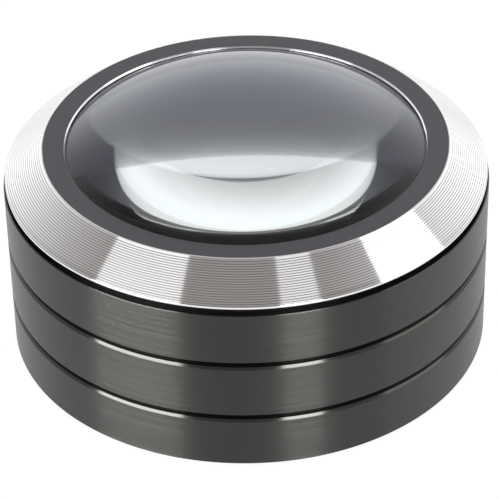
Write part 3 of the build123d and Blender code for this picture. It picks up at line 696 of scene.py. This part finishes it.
class MAGNIFIER_OT_drum(Step, bpy.types.Operator):
    """Turned drum with two grooves, chamfered edges and the inner lip the base bears on"""

    bl_idname = "magnifier.drum"
    bl_label = "Drum"
    lip_height: length("Lip height", "Height of the inner lip", 1.0)
    lip_width: length("Lip width", "How far the inner lip stands in", 0.6)
    foot_chamfer: length("Foot chamfer", "Chamfer round the drum's foot", 0.4)
    top_chamfer: length("Top chamfer", "Chamfer round the drum's top", 0.15)
    base_clearance: length("Base clearance", "Gap round the base plate", 0.15)
    floor_margin: length("Floor margin", "How far the groove floors' finish reaches out", 0.05)

    def execute(self, context):
        sizes = turning()
        edge = sizes.edge
        outer = reach("body_shell")
        inner = reach("base_plate") + self.base_clearance
        low, high = bottom("body_shell"), top("body_shell")
        lip = bottom("chamber_liner")
        corners = [
            (inner, low, edge),
            (outer - self.foot_chamfer, low, edge),
            (outer, low + self.foot_chamfer, edge),
        ]
        for place in range(2):
            height = sizes.groove_start + place * sizes.groove_pitch
            low_corner = height - sizes.groove_floor / 2
            high_corner = height + sizes.groove_floor / 2
            corners += [
                (outer, low_corner - sizes.groove_low, edge),
                (outer - sizes.groove_depth, low_corner, edge / 3),
                (outer - sizes.groove_depth, high_corner, edge / 3),
                (outer, high_corner + sizes.groove_high, edge / 2),
            ]
        corners += [
            (outer, high - self.top_chamfer, edge),
            (outer - self.top_chamfer, high, edge),
            (inner, high, edge),
            (inner, lip + self.lip_height, 0),
            (inner - self.lip_width, lip + self.lip_height, 0),
            (inner - self.lip_width, lip, 0),
            (inner, lip, 0),
        ]
        floor = outer - sizes.groove_depth + self.floor_margin
        made = drum_finish(outer - edge / 3, floor)
        drum = turned("drum", rounded(corners), material=made)
        fit(drum, "body", "drum_anodised", "body_shell")
        return {"FINISHED"}


class MAGNIFIER_OT_bezel(Step, bpy.types.Operator):
    """Bright bezel whose slope is turned with fine concentric grooves"""

    bl_idname = "magnifier.bezel"
    bl_label = "Bezel"
    band: length("Foot band", "Upright band at the bezel's foot", 0.4)
    rim: length("Rim", "Bright rim left round the trim ring", 0.2)
    bore_wall: length("Bore setback", "From the recess in to the bore", 1.35)
    low_land: length("Lower land", "Plain slope below the first groove", 0.75)
    high_land: length("Upper land", "Plain slope above the last groove", 0.3)
    recess_gap: length("Recess gap", "Gap round the trim ring", 0.05)

    def execute(self, context):
        sizes = turning()
        edge = sizes.edge
        foot = Vector((reach("bezel_ring"), bottom("bezel_ring") + self.band))
        recess = reach("trim_ring") + self.recess_gap
        head = Vector((recess + self.rim, top("bezel_ring")))
        bore = recess - self.bore_wall
        slope = (head - foot).normalized()
        inwards = Vector((-slope.y, slope.x))
        run = (head - foot).length - self.low_land - self.high_land
        pitch = run / sizes.ring_count
        outline = [Vector((bore, bottom("bezel_ring")))]
        corner = Vector((foot.x, bottom("bezel_ring")))
        outline += arc(outline[0], corner, foot, edge)
        outline += arc(corner, foot, head, edge)
        cuts = [0.0] * len(outline)
        half = pitch * sizes.ring_share / 2
        for ring in range(sizes.ring_count):
            middle = self.low_land + (ring + 0.5) * pitch
            for offset, share in ((-1, 0.0), (-0.25, 1.0), (0.25, 1.0), (1, 0.0)):
                outline.append(foot + slope * (middle + half * offset))
                cuts.append(share)
        tail = arc(foot, head, Vector((recess, head.y)), edge / 3)
        tail += [
            Vector((recess, head.y)),
            Vector((recess, bottom("trim_ring"))),
            Vector((bore, bottom("trim_ring"))),
        ]
        outline += tail
        cuts += [0.0] * len(tail)
        cut = Vector((inwards.x, 0, inwards.y)) * sizes.ring_depth
        across = abs(slope.x)
        first = foot.x - (self.low_land + run) * across
        made = bezel_finish(first, pitch * across)
        bezel = turned("bezel", outline, cuts, cut, made)
        fit(bezel, "body", "bezel_bright", "bezel_ring")
        return {"FINISHED"}


class MAGNIFIER_OT_trim(Step, bpy.types.Operator):
    """Flat dark ring that holds the lens down, chamfered round its opening"""

    bl_idname = "magnifier.trim"
    bl_label = "Trim ring"
    lap: length("Lap", "How far it reaches over the lens", 0.6)
    chamfer: length("Chamfer", "Chamfer round the opening", 0.25)
    lip: length("Lip", "Thickness over the lens", 0.45)
    collar_gap: length("Collar gap", "Gap round the lens edge", 0.3)

    def execute(self, context):
        inner = reach("lens") - self.lap
        outer = reach("trim_ring")
        low, high = bottom("trim_ring"), top("trim_ring")
        fine = turning().edge / 3
        corners = [
            (inner, high - self.lip, fine),
            (inner, high - self.chamfer, fine),
            (inner + self.chamfer, high, fine),
            (outer, high, fine),
            (outer, low, 0),
            (reach("lens") + self.collar_gap, low, 0),
            (reach("lens") + self.collar_gap, high - self.lip, 0),
        ]
        made = trim_finish(inner + self.chamfer)
        trim = turned("trim_ring_lacquered", rounded(corners), material=made)
        fit(trim, "body", "trim_grey", "trim_ring")
        return {"FINISHED"}


class MAGNIFIER_OT_lens(Step, bpy.types.Operator):
    """Plano-convex lens: a true sphere over a ground edge and a flat polished base"""

    bl_idname = "magnifier.lens"
    bl_label = "Lens"
    bevel: length("Bevel", "Bevel round the flat face", 0.25)

    def execute(self, context):
        radius, sphere = reach("lens"), turning().dome_radius
        low, high = bottom("lens"), top("lens")
        centre = high - sphere
        outline = [
            Vector((0, low)),
            Vector((radius - self.bevel, low)),
            Vector((radius, low + self.bevel)),
        ]
        widest = atan2(radius, sqrt(sphere**2 - radius**2))
        for ring in range(DOME_RINGS + 1):
            tilt = widest * (1 - ring / DOME_RINGS)
            outline.append(Vector((sphere * sin(tilt), centre + sphere * cos(tilt))))
        lens = turned("lens_glass_dome", outline, material=lens_finish())
        fit(lens, "body", "lens_glass", "lens")
        return {"FINISHED"}


class MAGNIFIER_OT_head(Step, bpy.types.Operator):
    """Finishes of the carrier, its gasket and the viewing chamber's liner"""

    bl_idname = "magnifier.head"
    bl_label = "Carrier and chamber"

    def execute(self, context):
        cover(plastic_finish(), "lens_carrier", "base_plate", "battery_door", "switch_header")
        cover(rubber_finish(), "lens_gasket")
        cover(liner_finish(), "chamber_liner")
        return {"FINISHED"}


class MAGNIFIER_OT_feet(Step, bpy.types.Operator):
    """Three rubber arcs with rounded edges, let into the base"""

    bl_idname = "magnifier.feet"
    bl_label = "Foot pads"
    width: length("Width", "Width of each pad", 6.0)
    sweep: angle("Sweep", "Length of each pad round the base", 32)
    edge: length("Edge", "Rounding along each pad", 0.35)
    spacing: bpy.props.FloatVectorProperty(
        name="Spacing", description="Where the pads lie", default=(22, 158, 270), size=3
    )

    def execute(self, context):
        outer = -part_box("foot_pads")[0].y
        middle = outer - self.width / 2
        low, high = bottom("foot_pads"), top("foot_pads")
        corners = [
            (middle - self.width / 2, low, self.edge),
            (middle + self.width / 2, low, self.edge),
            (middle + self.width / 2, high, 0),
            (middle - self.width / 2, high, 0),
        ]
        section = rounded(corners)
        pad = swept("pad_master", section, self.sweep, PAD_STEPS)
        turns = [radians(place) for place in self.spacing]
        pads = points_object("rubber_feet", [(0, 0, 0)] * len(turns), "turn", turns)
        values = {"Piece": pad, "Material": rubber_finish()}
        grown(pads, bpy.data.node_groups.get("Copies") or copies_tree(), values)
        bpy.data.objects.remove(pad)
        fit(pads, "body", "pad_rubber", "foot_pads")
        return {"FINISHED"}


def swept(name, section, sweep, steps):
    """Solid arc: a closed section carried round Z, its middle at angle 0, with both ends shut."""
    work = bmesh.new()
    rings = []
    for step in range(steps + 1):
        turn = Matrix.Rotation(sweep * (step / steps - 0.5), 3, "Z")
        rings.append([work.verts.new(turn @ Vector((out, 0, up))) for out, up in section])
    for first, second in zip(rings, rings[1:]):
        for place in range(len(section)):
            after = (place + 1) % len(section)
            work.faces.new((first[place], first[after], second[after], second[place]))
    work.faces.new(rings[0])
    work.faces.new(reversed(rings[-1]))
    mesh = bpy.data.meshes.new(name)
    work.to_mesh(mesh)
    work.free()
    obj = bpy.data.objects.new(name, mesh)
    bpy.context.scene.collection.objects.link(obj)
    return obj


class MAGNIFIER_OT_metalwork(Step, bpy.types.Operator):
    """Finishes of the screws, cells, contacts and switch"""

    bl_idname = "magnifier.metalwork"
    bl_label = "Metalwork"

    def execute(self, context):
        steel = steel_finish()
        cover(steel, "base_screws", "door_screw", "board_screws", "switch_board_screws")
        cover(steel, "button_cell_1", "button_cell_2", "button_cell_3", "switch_can")
        cover(steel, "switch_ball")
        cover(nickel_finish(), "contact_plus", "contact_minus", "contact_spring", "lamp_leads")
        cover(brass_finish(), "switch_pins")
        return {"FINISHED"}


class MAGNIFIER_OT_electrics(Step, bpy.types.Operator):
    """Finishes of the boards, lamps, resistors and wires"""

    bl_idname = "magnifier.electrics"
    bl_label = "Electrics"

    def execute(self, context):
        cover(board_finish(), "lamp_board", "switch_board")
        cover(lamp_finish(), "lamp_1", "lamp_2", "lamp_3")
        cover(plastic_finish(), "lamp_resistors")
        red = wire_finish("red_insulation", finish().red_wire)
        cover(red, "battery_wire_red", "lamp_wire_red")
        cover(wire_finish("black_insulation", finish().black_wire), "battery_wire_black")
        return {"FINISHED"}


# ------------------------------------ stage -----------------------------------------------------

FLOOR_RADIUS = 4.0
FLOOR_DROP = 0.02 * MM  # keeps the floor clear of the pads' undersides
SKY_TILT = 0.12  # how much sooner the studio turns bright on the right
SKY_BAND = (0.15, 0.86)  # rise at which the walls end and the ceiling begins
SENSOR = 36.0
NEAR = 0.01

# Name, the angles on the bezel between which it shows, and the strengths of both halves.
SOFTBOXES = (
    ("left", -36.5, -15.5, 1.0, 19.0),
    ("strip", 7, 16, 0.85, 19.0),
    ("right", 31, 50, 2.2, 3.0),
)
SOFT_SLOPES = (34.5, 49)  # the faces in which the soft halves show
HOT_SLOPES = (49, 72)  # the faces in which the hot halves show
PANEL_DISTANCE = 1.0
PANEL_STEPS = 10


def camera_place():
    """Where the camera stands and its right, up and forward directions."""
    view = stage()
    rise = view.camera_height
    place = Vector((0, -cos(rise), sin(rise))) * view.camera_distance
    pitch, yaw, roll = view.camera_pitch, view.camera_yaw, view.camera_roll
    forward = Vector((sin(yaw) * cos(pitch), cos(yaw) * cos(pitch), -sin(pitch)))
    level = Vector((cos(yaw), -sin(yaw), 0))
    raised = level.cross(forward)
    right = level * cos(roll) + raised * sin(roll)
    up = raised * cos(roll) - level * sin(roll)
    return place, right, up, forward


def make_camera():
    """Camera above the drum's front, placed by the stage's settings."""
    place, right, up, forward = camera_place()
    data = bpy.data.cameras.new("camera")
    data.lens = stage().camera_lens
    data.sensor_width = SENSOR
    data.clip_start = NEAR
    camera = bpy.data.objects.new("camera", data)
    camera.matrix_world = Matrix((right, up, -forward)).transposed().to_4x4()
    camera.location = place
    bpy.context.scene.collection.objects.link(camera)
    bpy.context.scene.camera = camera


def make_floor():
    """Round sheet of pale paper that glows a little, so that no shadow falls on it."""
    made = Finish("floor_paper", stage().floor, 0.6, Specular_IOR_Level=0.0)
    patches = made.noise(8, 2.0)
    made.tint(patches, shade(stage().floor, 0.985), shade(stage().floor, 1.015))
    made.shader.inputs["Emission Color"].default_value = (*WHITE, 1.0)
    made.shader.inputs["Emission Strength"].default_value = stage().glow
    work = bmesh.new()
    bmesh.ops.create_circle(work, cap_ends=True, segments=96, radius=FLOOR_RADIUS)
    mesh = bpy.data.meshes.new("floor")
    work.to_mesh(mesh)
    work.free()
    mesh.transform(Matrix.Translation((0, 0, CAD_LOW.z - FLOOR_DROP)))
    mesh.materials.append(made.material)
    floor = bpy.data.objects.new("floor", mesh)
    bpy.context.scene.collection.objects.link(floor)


def make_sky():
    """Studio round the stage: bright walls that turn into a dim ceiling, sooner on the left."""
    world = bpy.data.worlds.new("studio")
    world.use_nodes = True
    bpy.context.scene.world = world
    graph = Graph(world.node_tree)
    place = graph.add("ShaderNodeTexCoord").outputs["Generated"]
    split = graph.add("ShaderNodeSeparateXYZ", sockets={0: place})
    side, rise = (Value(graph.tree, split.outputs[axis]) for axis in ("X", "Z"))
    stops = zip(SKY_BAND, (tuple(stage().horizon), tuple(stage().ceiling)))
    sockets = {0: rise - side * SKY_TILT}
    ramp = graph.add("ShaderNodeValToRGB", {"stops": tuple(stops)}, sockets)
    back = world.node_tree.nodes["Background"]
    graph.tree.links.new(ramp.outputs[0], back.inputs["Color"])
    back.inputs["Strength"].default_value = 1.0


def mirrored(sector, slope, place):
    """Direction in which the camera sees the studio in a turned face of that slope."""
    normal = Vector((sin(slope) * sin(sector), -sin(slope) * cos(sector), cos(slope)))
    towards = (camera_place()[0] - place).normalized()
    return 2 * towards.dot(normal) * normal - towards


def glow_material(name, strength):
    """White light of the given strength."""
    material = bpy.data.materials.new(name)
    material.use_nodes = True
    graph = Graph(material.node_tree)
    graph.tree.nodes.remove(graph.tree.nodes["Principled BSDF"])
    sockets = {"Strength": strength, "Color": (*WHITE, 1.0)}
    glow = graph.add("ShaderNodeEmission", sockets=sockets)
    out = graph.tree.nodes["Material Output"]
    graph.tree.links.new(glow.outputs[0], out.inputs[0])
    return material


def make_softbox(name, first, last, strength, low_slope, high_slope):
    """Panel that shows in turned faces between two slopes, between two angles from the front.

    All angles are in degrees. The panel shows only in reflections.
    """
    work = bmesh.new()
    centre = Vector((0, 0, top("bezel_ring")))
    columns = []
    for sector in (first, (first + last) / 2, last):
        turn = radians(sector)
        rim = centre + Vector((sin(turn), -cos(turn), 0)) * reach("trim_ring")
        column = []
        for step in range(PANEL_STEPS + 1):
            slope = low_slope + (high_slope - low_slope) * step / PANEL_STEPS
            way = mirrored(turn, radians(slope), rim)
            column.append(work.verts.new(centre + way * PANEL_DISTANCE))
        columns.append(column)
    for one, two in zip(columns, columns[1:]):
        for step in range(PANEL_STEPS):
            work.faces.new((one[step], one[step + 1], two[step + 1], two[step]))
    mesh = bpy.data.meshes.new(name)
    work.to_mesh(mesh)
    work.free()
    mesh.materials.append(glow_material(name, strength))
    panel = bpy.data.objects.new(name, mesh)
    panel.visible_camera = False
    panel.visible_diffuse = False
    bpy.context.scene.collection.objects.link(panel)


class MAGNIFIER_OT_stage(Step, bpy.types.Operator):
    """Pale floor, soft studio light and the camera"""

    bl_idname = "magnifier.stage"
    bl_label = "Stage"

    def execute(self, context):
        bpy.context.scene.view_settings.view_transform = "Standard"
        make_camera()
        make_floor()
        make_sky()
        for name, first, last, soft, hot in SOFTBOXES:
            make_softbox("softbox_" + name, first, last, soft, *SOFT_SLOPES)
            make_softbox("lamp_" + name, first, last, hot, *HOT_SLOPES)
        return {"FINISHED"}


# ------------------------------------ add-on ----------------------------------------------------

STEPS = (
    MAGNIFIER_OT_stage,
    MAGNIFIER_OT_drum,
    MAGNIFIER_OT_bezel,
    MAGNIFIER_OT_trim,
    MAGNIFIER_OT_lens,
    MAGNIFIER_OT_head,
    MAGNIFIER_OT_feet,
    MAGNIFIER_OT_metalwork,
    MAGNIFIER_OT_electrics,
)


class MAGNIFIER_PT_steps(bpy.types.Panel):
    """Lists the steps and the settings"""

    bl_idname = "MAGNIFIER_PT_steps"
    bl_label = "Dome Magnifier"
    bl_space_type = "VIEW_3D"
    bl_region_type = "UI"
    bl_category = "Magnifier"

    def draw(self, context):
        for step in STEPS:
            self.layout.operator(step.bl_idname)
        for name, group in SETTINGS.items():
            box = self.layout.box()
            for field in group.__annotations__:
                box.prop(getattr(context.scene, name), field)


def register():
    for group in (*SETTINGS.values(), *STEPS, MAGNIFIER_PT_steps):
        bpy.utils.register_class(group)
    for name, group in SETTINGS.items():
        setattr(bpy.types.Scene, name, bpy.props.PointerProperty(type=group))


def unregister():
    for name in SETTINGS:
        delattr(bpy.types.Scene, name)
    for group in reversed((*SETTINGS.values(), *STEPS, MAGNIFIER_PT_steps)):
        bpy.utils.unregister_class(group)


def main():
    register()
    for step in STEPS:
        group, name = step.bl_idname.split(".")
        getattr(getattr(bpy.ops, group), name)()


if __name__ == "__main__":
    main()
